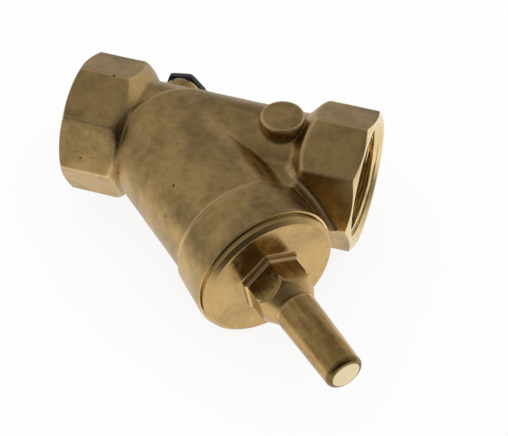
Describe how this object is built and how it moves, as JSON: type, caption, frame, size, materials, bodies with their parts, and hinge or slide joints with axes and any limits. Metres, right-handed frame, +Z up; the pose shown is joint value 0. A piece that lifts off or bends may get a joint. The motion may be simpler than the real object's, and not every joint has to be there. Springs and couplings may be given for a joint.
{
  "type": "y-pattern non-return valve",
  "caption": "Cast brass Y-pattern non-return valve with threaded eight-sided ends, a spring-loaded disc in a slanted barrel, a screwed bonnet with a guide sleeve, and a test plug.",
  "frame": {"origin": "centre of the inlet end face, on the pipe axis", "axes": "+X along the pipe from inlet to outlet, +Z up as the valve lies on its side, with the branch leaning from the pipe towards -Y and the outlet"},
  "size_m": [0.1304, 0.1183, 0.0528],
  "materials": {
    "cast_brass": "cast, tumbled",
    "forged_brass": "forged and turned",
    "turned_brass": "turned",
    "gasket": "soft metal ring, dulled",
    "stainless": "satin",
    "rubber": "matte",
    "black_plastic": "matte"
  },
  "bodies": {
    "valve": {"valve_body": "cast_brass", "bonnet": "forged_brass", "bonnet_gasket": "gasket", "guide_bush": "turned_brass", "closing_spring": "stainless"},
    "clack": {"stem": "turned_brass", "disc_holder": "turned_brass", "seal_washer": "rubber", "retaining_plate": "turned_brass", "lock_washer": "stainless", "retaining_nut": "stainless"},
    "plug": {"test_plug": "black_plastic", "test_plug_seal": "rubber"}
  },
  "joints": [
    {"name": "clack_lift", "type": "slide", "parent": "valve", "child": "clack", "axis": [0.7431, -0.6691, 0], "range_m": [0, 0.01], "stiffness_N_per_m": 150, "springref_m": -0.02, "deforming": ["closing_spring"]},
    {"name": "plug_out", "type": "slide", "parent": "valve", "child": "plug", "axis": [0, 1, 0], "range_m": [0, 0.0095]}
  ]
}
